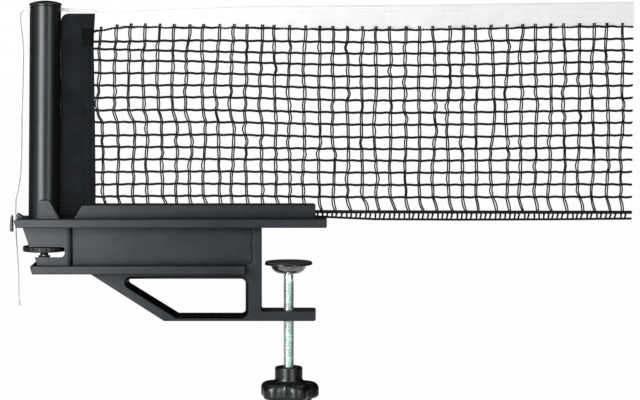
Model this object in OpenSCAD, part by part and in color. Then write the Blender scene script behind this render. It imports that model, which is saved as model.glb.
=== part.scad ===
// Table tennis net clamp: bench clamp body, height-adjusted net post, clamp screw and net.
// Millimetres. +X runs along the table edge's net line towards the table, +Z is up, -Y is the front.
// Origin: the clamp screw's axis on the plate's underside, where the table top bears.

/* [Plate] */
// Thickness of the upper plate
plate_t = 5.7; // [4:0.1:8]
// Depth of the upper plate, front to back
plate_depth = 36; // [32:1:44]
// Length of the plate past the screw axis, over the table
plate_nose = 26.3; // [22:0.1:40]
// Length of the plate past the post axis, away from the table
plate_tail = 19; // [17.5:0.1:26]
// Distance from the screw axis to the post axis
post_reach = 168.3; // [150:0.1:190]

/* [Fence] */
// Height of the fence walls over the plate
fence_h = 9.2; // [6:0.1:14]
// Wall thickness of the fence
fence_t = 3; // [2:0.1:4]
// Free width between the two fence walls
fence_gap = 14; // [10:0.5:18]
// Gap from the post axis to the foot of the fence's slope
fence_start = 21.2; // [18:0.1:30]
// Length of the fence's slope along the plate
fence_slope = 6; // [2:0.1:10]
// Set-back of the fence from the plate's nose
fence_setback = 7.8; // [4:0.1:14]
// Height of the ears that steady the post, over the plate
ear_h = 13; // [8:0.1:18]
// Width of an ear at its foot
ear_w = 14.5; // [12:0.1:18]
// Width of an ear along its top
ear_top_w = 6; // [4:0.1:8]
// Thickness of an ear in front of the post
ear_t = 3.4; // [2:0.1:5]

/* [Socket] */
// Height of the socket block under the plate
socket_h = 13.5; // [10:0.1:18]
// Depth of the socket block, front to back
socket_depth = 26.6; // [25.6:0.1:30]
// Length of the socket block past the post axis, away from the table
socket_tail = 13.4; // [12.6:0.1:16]
// Length that the block's outer end loses towards its foot
socket_taper = 4.6; // [2:0.1:6]
// Length of the socket block from the post axis towards the table
socket_run = 20.5; // [19:0.1:26]
// Height of the thumbwheel's slot
slot_h = 6.9; // [5.6:0.1:9]
// Gap between the thumbwheel's rim and the slot's inner end
slot_rim_gap = 0.6; // [0.4:0.1:3]
// Distance from the post axis to the outer end of the lower block
lower_tail = 5.2; // [4:0.1:9]
// Depth of the tube's seat under the plate
seat_depth = 4.5; // [3:0.1:7]

/* [Web] */
// Distance from the plate's underside to the lower flange's top
web_h = 26.3; // [24:0.1:34]
// Thickness of the web panel
web_t = 20; // [12:0.5:22]
// Thickness of the lower flange
flange_t = 5.7; // [4:0.1:8]
// Depth of the lower flange, front to back
flange_depth = 34; // [26:1:42]
// Length of the flange past the post axis, away from the table
flange_tail = 8.3; // [6:0.1:14]

/* [Arm] */
// Distance from the screw axis to the spine's table side
throat = 18.7; // [17.5:0.1:30]
// Thickness of the spine beside the jaw, over the flange
spine_t = 5.7; // [4:0.1:8]
// Thickness of the spine below the flange
spine_low_t = 10.9; // [8:0.1:14]
// Clear height of the jaw, plate to arm
jaw_h = 57.9; // [48:0.1:70]
// Thickness of the arm under the jaw
arm_t = 6.7; // [5:0.1:10]
// Length of the arm past the screw axis
arm_nose = 18.7; // [12:0.1:24]
// Depth of the arm, the spine and the brace, front to back
arm_depth = 24; // [18:0.5:30]
// Thickness of the bar that closes the brace under the flange
tie_t = 4.2; // [3:0.1:6]
// Thickness of the brace's foot beside the hole
foot_t = 3.9; // [3:0.1:6]
// Distance from the spine's table side to the brace's upper root
brace_root = 118.9; // [90:0.1:121]
// Distance from the spine's table side to the brace's lower knee
brace_knee = 66.7; // [40:0.1:80]
// Width of the slanted brace, measured along the plate
brace_w = 15.7; // [8:0.1:24]

/* [Post] */
// Outside diameter of the post tube
tube_d = 21.3; // [20:0.1:22.4]
// Wall thickness of the post tube
tube_wall = 1.2; // [0.8:0.1:1.6]
// Height of the tube's top over the plate's underside
tube_top = 151.2; // [140:0.1:170]
// Width of the tube's sleeve slot
tube_slot_w = 3; // [2.4:0.1:4]
// Running clearance of the tube in the plate, on the radius
tube_clear = 0.08; // [0.04:0.01:0.1]
// Diameter of the post's foot spigot
spigot_d = 10; // [8:0.1:11]
// Height of the foot's plug in the tube, over the tube's lower end
plug_h = 18; // [14:0.5:24]
// Height of the cap's rim
cap_rim_h = 1.4; // [1:0.1:2.4]
// Overhang of the cap's rim past the tube
cap_lip = 0.5; // [0.3:0.1:1.2]
// Rise of the cap's dome over its rim
cap_rise = 2; // [1:0.1:4]
// Length of the cap's plug in the tube
cap_plug_h = 11; // [8:0.5:16]
// Height of the cord's cross hole below the tube's top
cord_hole_drop = 2.7; // [2.4:0.1:5]

/* [Height adjuster] */
// Diameter of the thumbwheel
wheel_d = 29.2; // [26:0.1:31]
// Thickness of the thumbwheel
wheel_t = 3.5; // [2.5:0.1:4.4]
// Number of finger notches round the thumbwheel
wheel_notches = 24; // [12:1:36]
// Diameter of the height screw
height_screw_d = 4.9; // [4:0.1:6]
// Diameter of the collar under the thumbwheel
collar_d = 5.6; // [5.2:0.1:8]
// Travel of the post above its stop
lift_travel = 6; // [3:0.5:7]

/* [Clamp screw] */
// Outside diameter of the clamp screw's thread
screw_d = 6.84; // [6:0.02:8]
// Running clearance of the screw in its bush, on the radius
screw_clear = 0.08; // [0.04:0.01:0.1]
// Outside diameter of the threaded bush in the arm
bush_d = 13; // [11:0.1:15]
// Thickness of the arm's skin over the bush
bush_cover = 1.2; // [0.8:0.1:2]
// Distance from the plate's underside down to the pad's face
jaw_open = 24.6; // [12:0.1:32]
// Distance from the pad's face down to the knob's top
screw_run = 72.9; // [64:0.1:90]
// Diameter of the smooth neck under the pad
neck_d = 6.4; // [5.6:0.1:6.8]
// Length of the smooth neck
neck_h = 4.5; // [3:0.1:8]

/* [Pad] */
// Diameter of the pad's rim
pad_d = 33; // [28:0.1:34]
// Thickness of the pad's rubber facing
facing_t = 1; // [0.8:0.1:2]
// Thickness of the cup's rim under the facing
rim_t = 1.3; // [1:0.1:2.4]
// Diameter of the cup's bowl under its rim
bowl_d = 24.2; // [18:0.1:26]
// Diameter of the cup's foot
bowl_foot_d = 10.6; // [10:0.1:14]
// Height of the bowl below its rim
bowl_h = 6; // [5.6:0.1:9]
// Diameter of the swivel seat's ball
ball_d = 6; // [5:0.1:6.4]

/* [Knob] */
// Diameter of the knob's hub
hub_d = 19.1; // [16:0.1:22]
// Height of the knob's hub
hub_h = 10; // [6:0.1:14]
// Diameter over the knob's lobes
knob_d = 41.7; // [34:0.1:46]
// Height of the knob's lobed part
knob_h = 11.7; // [9:0.1:16]
// Number of lobes on the knob
knob_lobes = 5; // [4:1:8]
// Diameter of the knob's base ring
base_d = 32; // [26:0.1:33]
// Height of the knob's base ring
base_h = 3.2; // [2:0.1:5]

/* [Net] */
// Width of the net's visible stretch past the screw axis
net_reach = 236.4; // [150:0.1:400]
// Depth of the black sleeve, from the tube to the net
sleeve_w = 24.6; // [15:0.1:40]
// Distance from the tube's top down to the sleeve's top
sleeve_drop = 5.5; // [5.2:0.1:20]
// Thickness of the sleeve's doubled cloth
sleeve_t = 1.6; // [1:0.1:2]
// Diameter of the rod in the sleeve
rod_d = 4.8; // [4:0.1:5.4]
// Distance from the tube's top down to the white tape's lower edge
tape_drop = 14.6; // [12:0.1:30]
// Rise of the white tape's upper edge along the net's visible stretch
tape_rise = 6.3; // [0:0.1:12]
// Thickness of the white tape folded over its cord
tape_t = 2.8; // [2:0.1:4]
// Height of the hem over the plate at its foot
hem_lift = 0.6; // [0.4:0.1:3]
// Height of the hem
hem_h = 4.7; // [3:0.1:8]
// Thickness of the hem
hem_t = 1.6; // [1:0.1:3]
// Thickness of the net's cords
mesh_t = 1; // [0.6:0.1:2]
// Number of gaps along the net
mesh_cols = 25; // [10:1:25]
// Number of gaps up the net
mesh_rows = 12; // [6:1:12]
// Diameter of the tension cord
cord_d = 2.4; // [2:0.1:3]

/* [Hidden] */
$fn = 64;
EPS = 0.01;
// Free gap between pieces that move past each other, and between neighbours that only clear
gap = 0.3;
// Running clearance on the radius of a turning fit
run_clear = 0.05;

post_x = -post_reach;
plate_x0 = post_x - plate_tail;
plate_x1 = plate_nose;
plate_slant = 1.7;
plate_nick = 1.1;
plate_corner_r = 1.1;

tube_r = tube_d / 2;
tube_ir = tube_r - tube_wall;
seat_z = -seat_depth;
seat_gap = 0.5;
tube_foot = seat_z + seat_gap;
tube_bore_r = tube_r + tube_clear;
spigot_r = spigot_d / 2;

slot_top = -socket_h;
slot_low = slot_top - slot_h;
slot_x1 = post_x + wheel_d / 2 + slot_rim_gap;
slot_corner_r = 1.6;
slot_fall = 3;
pivot_land_r = 4;
socket_x1 = post_x + socket_run;
socket_side_r = 1.5;
socket_step_r = 3.6;

flange_top = -web_h;
flange_low = flange_top - flange_t;
flange_x0 = post_x - flange_tail;
flange_slant = 1.5;
spine_x = -throat;
spine_low_x = spine_x - spine_low_t;
arm_top = -jaw_h;
arm_low = arm_top - arm_t;
brace_root_x = spine_x - brace_root;
brace_knee_x = spine_x - brace_knee;
hole_top = flange_low - tie_t;
hole_low = arm_low + foot_t;
brace_drop = flange_low - arm_low;
brace_rate = (brace_knee_x - brace_root_x) / brace_drop;
hole_root_x = brace_root_x + brace_w + brace_rate * tie_t;
hole_knee_x = brace_root_x + brace_w + brace_rate * (flange_low - hole_low);
hole_r = 3;
hole_knee_r = 1.2;
arm_end_r = 1.4;
jaw_corner_r = 1;

wheel_top = slot_top - 0.4;
wheel_low = wheel_top - wheel_t;
wheel_r = wheel_d / 2;
notch_r = 1.1;
height_screw_r = height_screw_d / 2;
pivot_depth = 5;
screw_in_foot = 8;

cap_rim_r = tube_r + cap_lip;
cap_plug_r = tube_ir - 0.05;
cord_r = cord_d / 2;
cord_z = tube_top - cord_hole_drop;
cord_hole_r = cord_r + 0.4;

pad_top = -jaw_open;
facing_low = pad_top - facing_t;
rim_low = facing_low - rim_t;
bowl_low = rim_low - bowl_h;
ball_r = ball_d / 2;
ball_play = 0.2;
retainer_t = 0.6;
retainer_r = 4.4;
retainer_hole_r = 2.6;
ball_z = bowl_low + retainer_t + 0.1 + ball_r;
tip_r = 1.9;
tip_top = ball_z + 1.6;
neck_top = bowl_low - 0.5;
knob_top = pad_top - screw_run;
lobes_top = knob_top - hub_h;
lobes_low = lobes_top - knob_h;
knob_low = lobes_low - base_h;
screw_r = screw_d / 2;
screw_low = knob_low + 1.4;
nut_flats = 11;
nut_h = 5;

fence_x0 = post_x + fence_start;
fence_x1 = plate_x1 - fence_setback;
fence_top = plate_t + fence_h;
fence_corner_r = 1.6;
ear_x0 = post_x - 1.8;

rod_x = post_x + tube_ir - rod_d / 2 - 1.9;
rod_r = rod_d / 2;
sleeve_ring_r = rod_r + 1.2;
sleeve_x0 = post_x + tube_r + gap;
sleeve_x1 = post_x + tube_r + sleeve_w;
sleeve_low = plate_t + hem_lift;
sleeve_top = tube_top - sleeve_drop;
sleeve_ring_low = tube_foot + plug_h + gap;
sleeve_ring_top = tube_top - cap_plug_h - gap;
sleeve_corner_r = 5;
hem_low = plate_t + hem_lift;
hem_top = hem_low + hem_h;
hem_sag = 2.2;
hem_ease = 14;
tape_low = tube_top - tape_drop;
tape_x0 = sleeve_x1 + 2;
tape_left_h = cord_z - 0.9 - tape_low;

cleat_x1 = plate_x0 + 6.2;
cleat_rise = 3.4;
hook_t = 2.1;
hook_drop = 4.5;
cord_run_x = plate_x0 - 1;
notch_x1 = plate_x0 + 2.8;
bridge_y = cord_r + 0.4;
bridge_t = 3;

// Route of the tension cord: out of the tube's left wall, down to the cleat, and the free tail
TAIL_ROUTE = [[-179, 148.5], [-181, 148.5], [-183.2, 146.8], [-184, 143.6], [-183.6, 138],
    [-182.8, 130], [-182.2, 120], [-182.6, 100], [-183.4, 80], [-183.9, 56], [-184.6, 38],
    [-186.2, 27], [-187.8, 20], [-188.3, 14], [-188.3, 6], [-188.3, -4], [-187.8, -14],
    [-187.1, -26], [-186.7, -40], [-186.6, -52]];
// Route of the same cord inside the post: from the tape's end, over the sleeve, through the cap
BRIDGE_ROUTE = concat(
    [for (p = [[0, -2.2], [-1.4, -1.5], [-3.5, -1.1], [-9, -0.9]]) [tape_x0, cord_z] + p],
    [for (p = [[21, -0.6], [16, -0.2], [12, 0], [6, 0], [-1, 0], [-10.7, 0]]) [post_x, cord_z] + p]);
knot_low = -55.6;
// Upper edge of the white tape: shares of its length and of its rise
TAPE_CROWN = [[1, 1], [0.63, 0.67], [0.3, 0.52], [0.125, 0.16], [0, 0]];

function unit(v) = v / norm(v);
// Points of the arc that rounds corner b, between neighbours a and c
function fillet(a, b, c, r, n = 5) =
    let (u = unit(a - b), v = unit(c - b), half = acos(u * v) / 2,
         mid = b + unit(u + v) * r / sin(half),
         p = b + u * r / tan(half) - mid, q = b + v * r / tan(half) - mid,
         a0 = atan2(p.y, p.x), turn = (atan2(q.y, q.x) - a0 + 540) % 360 - 180)
    [for (i = [0:n]) mid + r * [cos(a0 + turn * i / n), sin(a0 + turn * i / n)]];
// Outline of corners [x, y, radius]
function rounded(pts) =
    let (n = len(pts))
    [for (i = [0:n - 1])
        let (a = pts[(i + n - 1) % n], b = pts[i], c = pts[(i + 1) % n])
        each b[2] == 0 ? [[b.x, b.y]] : fillet([a.x, a.y], [b.x, b.y], [c.x, c.y], b[2])];

// Catmull-Rom curve through a list of [x, z] points
function spline(p, steps) =
    let (n = len(p))
    [for (i = [0:n - 2]) for (s = [0:steps - 1])
        let (a = p[max(i - 1, 0)], b = p[i], c = p[i + 1], d = p[min(i + 2, n - 1)], t = s / steps)
        0.5 * (2 * b + (c - a) * t + (2 * a - 5 * b + 4 * c - d) * t * t
               + (3 * b - a - 3 * c + d) * t * t * t),
     p[n - 1]];

// Puts an outline drawn in X and Z upright, centred front to back
module slab(depth) {
    rotate([90, 0, 0]) translate([0, 0, -depth / 2]) linear_extrude(depth) children();
}

// A round cord swept along [x, z] points in the plane y = 0
module cord_tube(path, r, sides = 8) {
    n = len(path);
    rings = [for (i = [0:n - 1])
        let (d = unit(path[min(i + 1, n - 1)] - path[max(i - 1, 0)]), side = [-d.y, d.x])
        for (k = [0:sides - 1])
            let (w = 360 * (k + 0.5) / sides, o = path[i] + side * r * cos(w))
            [o.x, r * sin(w), o.y]];
    walls = [for (i = [0:n - 2]) for (k = [0:sides - 1])
        let (a = i * sides + k, b = i * sides + (k + 1) % sides)
        each [[a, b, b + sides], [a, b + sides, a + sides]]];
    ends = [for (k = [1:sides - 2])
        each [[0, k + 1, k], [(n - 1) * sides, (n - 1) * sides + k, (n - 1) * sides + k + 1]]];
    polyhedron(points = rings, faces = concat(walls, ends));
}

module at_post(z) {
    translate([post_x, 0, z]) children();
}

// ---------- clamp body ----------
module plate_outline() {
    polygon(rounded([[plate_x0 + plate_slant, 0, 0], [plate_x1, 0, plate_corner_r],
                     [plate_x1, plate_t, plate_corner_r], [plate_x0 + plate_nick, plate_t, 0],
                     [plate_x0, plate_t - plate_nick, 0]]));
}

module fence() {
    for (side = [-1, 1]) translate([0, side * (fence_gap + fence_t) / 2, 0]) slab(fence_t)
        polygon(rounded([[fence_x0, plate_t - EPS, 0], [fence_x1 + 1, plate_t - EPS, 0],
                         [fence_x1, plate_t + 2, 0], [fence_x1, fence_top, fence_corner_r],
                         [fence_x0 + fence_slope, fence_top, 0.6]]));
}

module ears() {
    ear_y = tube_r + ear_t - 3;
    for (side = [-1, 1]) translate([0, side * ear_y, 0]) slab(6)
        polygon(rounded([[ear_x0 - 0.5, plate_t - EPS, 0], [ear_x0 + ear_w, plate_t - EPS, 0],
                         [ear_x0 + ear_top_w + 1, plate_t + ear_h, 1.4],
                         [ear_x0, plate_t + ear_h, 1.4]]));
}

module socket_plan(x0, x1) {
    half = socket_depth / 2;
    polygon(rounded([[x0, -half, socket_side_r], [x1, -half, socket_step_r],
                     [x1, half, socket_step_r], [x0, half, socket_side_r]]));
}

module socket_block() {
    x0 = post_x - socket_tail;
    intersection() {
        translate([0, 0, slot_top]) linear_extrude(socket_h + EPS) socket_plan(x0, socket_x1);
        slab(plate_depth) polygon([[x0, 0.1], [x0 + socket_taper, slot_top - 0.1],
                                   [socket_x1 + 1, slot_top - 0.1], [socket_x1 + 1, 0.1]]);
    }
    x2 = post_x - lower_tail;
    translate([0, 0, flange_top - EPS]) linear_extrude(slot_low - flange_top + EPS)
        socket_plan(x2, socket_x1);
    translate([0, 0, flange_top - EPS]) linear_extrude(web_h + 0.1)
        intersection() {
            socket_plan(x2, socket_x1);
            translate([slot_x1, -socket_depth / 2]) square([socket_x1 - slot_x1, socket_depth]);
        }
}

// The slot's floor falls to the back, round a level land for the wheel's collar
module slot_floor() {
    back = socket_depth / 2;
    difference() {
        translate([plate_x0, 0, slot_low]) rotate([90, 0, 90])
            linear_extrude(slot_x1 - slot_corner_r - plate_x0)
            polygon([[-back, EPS], [back + 1, EPS], [back + 1, -slot_fall], [back, -slot_fall]]);
        at_post(slot_low - slot_fall - 1) cylinder(h = slot_fall + 2, r = pivot_land_r);
    }
}

module web_and_flange() {
    web_x0 = socket_x1 - socket_step_r - 1;
    slab(web_t) translate([web_x0, flange_top - 1])
        square([spine_x - spine_t / 2 - web_x0, web_h + 1.5]);
    slab(flange_depth) polygon(rounded([[flange_x0 + flange_slant, flange_low, 0],
        [spine_low_x, flange_low, 0.8], [spine_low_x, flange_top, 0.8],
        [flange_x0, flange_top, 0.6]]));
}

module arm_frame() {
    slab(arm_depth) difference() {
        polygon(rounded([[brace_root_x, flange_low + EPS, 0], [brace_knee_x, arm_low, 0.8],
            [arm_nose, arm_low, arm_end_r], [arm_nose, arm_top, arm_end_r],
            [spine_x, arm_top, jaw_corner_r], [spine_x, EPS, 0], [spine_x - spine_t, EPS, 0],
            [spine_x - spine_t, flange_top + 2, 1.6], [spine_low_x - 1, flange_top - 1, 0],
            [spine_low_x - 1, flange_low + EPS, 0]]));
        polygon(rounded([[hole_root_x, hole_top, 2], [hole_knee_x, hole_low, hole_knee_r],
            [spine_low_x, hole_low, hole_r], [spine_low_x, hole_top, hole_r]]));
    }
}

module clamp_body() {
    color("#42464c") difference() {
        union() {
            slab(plate_depth) plate_outline();
            fence();
            ears();
            socket_block();
            web_and_flange();
            arm_frame();
        }
        at_post(seat_z) cylinder(h = 40, r = tube_bore_r);
        at_post(slot_top - EPS) cylinder(h = socket_h, r = spigot_r + run_clear);
        slab(plate_depth) polygon(rounded([[plate_x0 - 9, slot_low, 0],
            [slot_x1, slot_low, slot_corner_r], [slot_x1, slot_top, slot_corner_r],
            [plate_x0 - 9, slot_top, 0]]));
        slot_floor();
        at_post(slot_low - pivot_depth) cylinder(h = pivot_depth + 1, r = height_screw_r + run_clear);
        translate([plate_x0 - 1, -bridge_y, -1])
            cube([notch_x1 - plate_x0 + 1, 2 * bridge_y + bridge_t, plate_t + 2]);
        translate([0, 0, arm_low - 1]) cylinder(h = arm_t - bush_cover + 1, d = bush_d);
        translate([0, 0, arm_low]) cylinder(h = arm_t + 1, r = screw_r + 2 * gap);
    }
}

module arm_bush() {
    color("#b9b48f") translate([0, 0, arm_low]) difference() {
        cylinder(h = arm_t - bush_cover, d = bush_d);
        translate([0, 0, -1]) cylinder(h = arm_t + 2, r = screw_r + screw_clear);
    }
}

module cord_cleat() {
    hook_x1 = cord_run_x - cord_r - gap;
    hook_x0 = hook_x1 - hook_t;
    wedge_x0 = cord_run_x + cord_r + gap;
    back = bridge_y + bridge_t;
    color("#565a5e") union() {
        translate([0, (back - bridge_y) / 2, 0]) slab(back + bridge_y)
            polygon(rounded([[hook_x0, -hook_drop + 1, 0.8], [hook_x1, -hook_drop, 0.6],
                [hook_x1, plate_t + 3, 0.6], [hook_x0 + 0.6, plate_t, 0.8]]));
        translate([0, (back - bridge_y) / 2, 0]) slab(back + bridge_y)
            polygon(rounded([[wedge_x0, plate_t, 0], [cleat_x1, plate_t, 0.2],
                [wedge_x0 + 0.3, plate_t + cleat_rise, 0.4]]));
        translate([hook_x0 + 0.9, bridge_y, plate_t])
            cube([wedge_x0 + 1.4 - hook_x0, bridge_t, 1.6]);
        translate([wedge_x0, bridge_y, 0]) cube([notch_x1 - wedge_x0, bridge_t, plate_t]);
    }
}

// ---------- post ----------
module post_tube() {
    color("#17181a") difference() {
        at_post(tube_foot) cylinder(h = tube_top - tube_foot, r = tube_r);
        at_post(tube_foot - 1) cylinder(h = tube_top - tube_foot + 2, r = tube_ir);
        translate([post_x, -tube_slot_w / 2, sleeve_ring_low - gap])
            cube([tube_r + 1, tube_slot_w, tube_top]);
        translate([post_x - tube_r - 1, 0, cord_z]) rotate([0, 90, 0])
            cylinder(h = tube_r, r = cord_hole_r);
    }
}

module post_cap() {
    dome_r = (pow(cap_rim_r, 2) + pow(cap_rise, 2)) / (2 * cap_rise);
    dome = asin(cap_rim_r / dome_r);
    color("#101112") difference() {
        union() {
            at_post(tube_top) rotate_extrude() polygon(concat([[0, 0], [cap_rim_r, 0],
                [cap_rim_r, cap_rim_h - 0.3]], [for (i = [10:-1:0])
                dome_r * [sin(dome * i / 10), cos(dome * i / 10)] + [0, cap_rim_h + cap_rise - dome_r]]));
            at_post(tube_top - cap_plug_h) cylinder(h = cap_plug_h + EPS, r = cap_plug_r);
        }
        translate([post_x - tube_r - 1, 0, cord_z]) rotate([0, 90, 0])
            cylinder(h = 2 * tube_r + 2, r = cord_hole_r);
    }
}

module post_foot() {
    color("#2a2c2f") difference() {
        union() {
            at_post(tube_foot) cylinder(h = plug_h, r = tube_ir);
            at_post(slot_top + 0.5) cylinder(h = tube_foot - slot_top, r = spigot_r);
        }
        at_post(slot_top) cylinder(h = screw_in_foot + socket_h + lift_travel,
                                   r = height_screw_r + run_clear);
    }
}

module sleeve_rod() {
    color("#d8d4c6") translate([rod_x, 0, sleeve_ring_low])
        cylinder(h = sleeve_ring_top - sleeve_ring_low, r = rod_r);
}

module net_sleeve() {
    color("#1d1d1f") difference() {
        union() {
            slab(sleeve_t) polygon(rounded([[sleeve_x0, sleeve_low, 0], [sleeve_x1, sleeve_low, 0],
                [sleeve_x1, sleeve_top, 0.8], [sleeve_x0, sleeve_top, sleeve_corner_r]]));
            translate([rod_x, -sleeve_t / 2, sleeve_ring_low])
                cube([sleeve_x0 - rod_x + 2, sleeve_t, sleeve_ring_top - sleeve_ring_low]);
            translate([rod_x, 0, sleeve_ring_low])
                cylinder(h = sleeve_ring_top - sleeve_ring_low, r = sleeve_ring_r);
        }
        translate([rod_x, 0, sleeve_ring_low - 1])
            cylinder(h = sleeve_ring_top - sleeve_ring_low + 2, r = rod_r);
    }
}

// ---------- net ----------
module net_mesh() {
    pitch_x = (net_reach - sleeve_x1 - mesh_t) / mesh_cols;
    pitch_z = (tape_low - hem_top - mesh_t) / mesh_rows;
    color("#202022") slab(mesh_t) difference() {
        translate([sleeve_x1, hem_top]) square([net_reach - sleeve_x1, tape_low - hem_top]);
        for (i = [0:mesh_cols - 1]) for (k = [0:mesh_rows - 1])
            translate([sleeve_x1 + mesh_t + i * pitch_x, hem_top + mesh_t + k * pitch_z])
                square([pitch_x - mesh_t, pitch_z - mesh_t]);
    }
}

module net_tape() {
    crown = tape_low + tape_left_h;
    run = net_reach - tape_x0;
    color("#f4f4f2") slab(tape_t) polygon(concat([[tape_x0, tape_low], [net_reach, tape_low]],
        [for (p = TAPE_CROWN) [tape_x0 + run * p.x, crown + tape_rise * p.y]]));
}

module net_hem() {
    color("#202022") slab(hem_t) polygon([[sleeve_x1, hem_low], [plate_x1 + 1, hem_low],
        [plate_x1 + hem_ease, hem_low - hem_sag * 0.7], [net_reach / 2, hem_low - hem_sag],
        [net_reach, hem_low - hem_sag * 0.7], [net_reach, hem_top], [sleeve_x1, hem_top]]);
}

module cord_bridge() {
    color("#ecebe6") cord_tube(spline(BRIDGE_ROUTE, 2), cord_r);
}

module tension_cord() {
    color("#ecebe6") cord_tube(spline(TAIL_ROUTE, 3), cord_r);
}

module cord_knot() {
    tail_end = TAIL_ROUTE[len(TAIL_ROUTE) - 1];
    knot_h = tail_end.y - knot_low;
    color("#ecebe6") translate([tail_end.x, 0, knot_low]) rotate_extrude()
        polygon([[0, 0], [1, 0.1], [1.8, 0.9], [2, 1.9], [1.8, 2.9], [cord_r, knot_h], [0, knot_h]]);
}

// ---------- height adjuster ----------
module thumbwheel() {
    color("#131416") at_post(0) difference() {
        union() {
            translate([0, 0, wheel_low]) cylinder(h = wheel_t, r = wheel_r);
            translate([0, 0, slot_low + 0.1]) cylinder(h = wheel_low - slot_low, d = collar_d);
        }
        for (i = [0:wheel_notches - 1]) rotate(360 * i / wheel_notches)
            translate([wheel_r + 0.5, 0, wheel_low - 1]) cylinder(h = wheel_t + 2, r = notch_r, $fn = 24);
        translate([0, 0, slot_low]) cylinder(h = slot_h + 1, r = height_screw_r);
    }
}

module height_screw() {
    pivot_low = slot_low - pivot_depth + 0.3;
    color("#8f9296") at_post(pivot_low)
        cylinder(h = screw_in_foot - pivot_low, r = height_screw_r);
}

// ---------- clamp screw, pad and knob ----------
module swivel_seat() {
    color("#d9d6c8") difference() {
        translate([0, 0, ball_z]) sphere(r = ball_r);
        translate([0, 0, ball_z - ball_r - 1]) cylinder(h = tip_top - ball_z + ball_r + 1.1,
                                                        r = tip_r + run_clear);
    }
}

module clamp_screw() {
    color("#b4bab6") union() {
        translate([0, 0, neck_top - EPS]) cylinder(h = tip_top - neck_top, r = tip_r);
        translate([0, 0, neck_top - neck_h]) cylinder(h = neck_h, d = neck_d);
        translate([0, 0, screw_low]) cylinder(h = neck_top - neck_h - screw_low + EPS, r = screw_r);
    }
}

module pad_cup() {
    ro = pad_d / 2;
    rb = bowl_d / 2;
    rf = bowl_foot_d / 2;
    color("#1b1c1d") difference() {
        rotate_extrude() polygon(concat(
            [[0, bowl_low], [rf, bowl_low]],
            [for (i = [1:8]) let (w = 90 * i / 8)
                [rf + (rb - rf) * sin(w), rim_low - bowl_h * cos(w)]],
            [[ro - 0.5, rim_low + 0.1], [ro, rim_low + rim_t / 2], [ro - 0.2, facing_low], [0, facing_low]]));
        translate([0, 0, ball_z]) sphere(r = ball_r + ball_play);
        translate([0, 0, bowl_low - 1]) cylinder(h = ball_z - bowl_low + 1, r = ball_r + ball_play);
        translate([0, 0, bowl_low - 1]) cylinder(h = retainer_t + 1, r = retainer_r);
    }
}

module pad_facing() {
    color("#2b2320") translate([0, 0, facing_low]) cylinder(h = facing_t, d = pad_d - 0.8);
}

module pad_retainer() {
    color("#9a9da0") translate([0, 0, bowl_low]) difference() {
        cylinder(h = retainer_t, r = retainer_r);
        translate([0, 0, -1]) cylinder(h = retainer_t + 2, r = retainer_hole_r);
    }
}

module lobed_outline() {
    lobe_r = 6.2;
    lobe_turn = -65;
    reach = knob_d / 2 - lobe_r;
    circle(r = reach);
    for (i = [0:knob_lobes - 1]) rotate(lobe_turn + 360 * i / knob_lobes)
        translate([reach, 0]) circle(r = lobe_r, $fn = 32);
}

module star_knob() {
    ro = knob_d / 2;
    rh = hub_d / 2;
    color("#191a1b") difference() {
        union() {
            intersection() {
                translate([0, 0, lobes_low]) linear_extrude(knob_h) lobed_outline();
                translate([0, 0, lobes_low]) rotate_extrude() polygon(rounded([[0, 0, 0], [ro, 0, 2.6],
                    [ro, knob_h - 1, 3.4], [rh, knob_h + 0.3, 0], [0, knob_h + 0.3, 0]]));
            }
            rotate_extrude() polygon(rounded([[0, lobes_top - 1, 0], [rh, lobes_top - 1, 0],
                [rh, knob_top, 1.2], [0, knob_top, 0]]));
            translate([0, 0, knob_low]) cylinder(h = base_h + 1, d = base_d);
        }
        translate([0, 0, screw_low]) cylinder(h = knob_top - screw_low + 1, r = screw_r);
        translate([0, 0, knob_low - 1]) cylinder(h = nut_h + 1, d = nut_flats / cos(30), $fn = 6);
    }
}

module knob_nut() {
    color("#a9adab") translate([0, 0, knob_low + 0.4]) difference() {
        cylinder(h = nut_h - 0.4, d = nut_flats / cos(30), $fn = 6);
        translate([0, 0, -1]) cylinder(h = nut_h + 1, r = screw_r);
    }
}

clamp_body();
arm_bush();
cord_cleat();
post_tube();
post_cap();
post_foot();
sleeve_rod();
net_sleeve();
net_mesh();
net_tape();
net_hem();
cord_bridge();
tension_cord();
cord_knot();
thumbwheel();
height_screw();
swivel_seat();
clamp_screw();
star_knob();
knob_nut();
pad_cup();
pad_facing();
pad_retainer();
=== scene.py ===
import math

import bmesh
import bpy
import numpy as np
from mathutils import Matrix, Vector
from mathutils.geometry import tessellate_polygon


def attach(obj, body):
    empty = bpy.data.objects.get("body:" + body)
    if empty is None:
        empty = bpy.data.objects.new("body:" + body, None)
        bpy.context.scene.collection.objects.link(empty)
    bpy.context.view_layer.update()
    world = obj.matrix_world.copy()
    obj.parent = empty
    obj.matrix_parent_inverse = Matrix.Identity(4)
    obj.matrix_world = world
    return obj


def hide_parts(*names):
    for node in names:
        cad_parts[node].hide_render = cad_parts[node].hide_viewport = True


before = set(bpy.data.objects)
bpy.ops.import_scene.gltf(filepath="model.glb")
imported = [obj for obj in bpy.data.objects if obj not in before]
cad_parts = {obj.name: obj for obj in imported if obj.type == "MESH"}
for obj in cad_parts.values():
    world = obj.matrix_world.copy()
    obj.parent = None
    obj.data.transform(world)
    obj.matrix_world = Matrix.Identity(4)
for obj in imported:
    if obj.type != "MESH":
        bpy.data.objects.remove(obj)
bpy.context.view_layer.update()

MM = 0.001
TAU = 2 * math.pi
RNG = np.random.default_rng(7)

# Places and sizes of the pieces are in millimetres in the CAD frame, and piece() turns them into metres.
POST_X = -168.3
TUBE_R = 10.65
LEAN = 0.0145  # how far the post and its sleeve tip towards the table, for each millimetre up
NET_LEFT, NET_RIGHT = -133.05, 236.4
CORD_D = 2.4

# The stage is in metres.
FLOOR_Z, FLAG_Z = -0.30, -0.29


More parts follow.
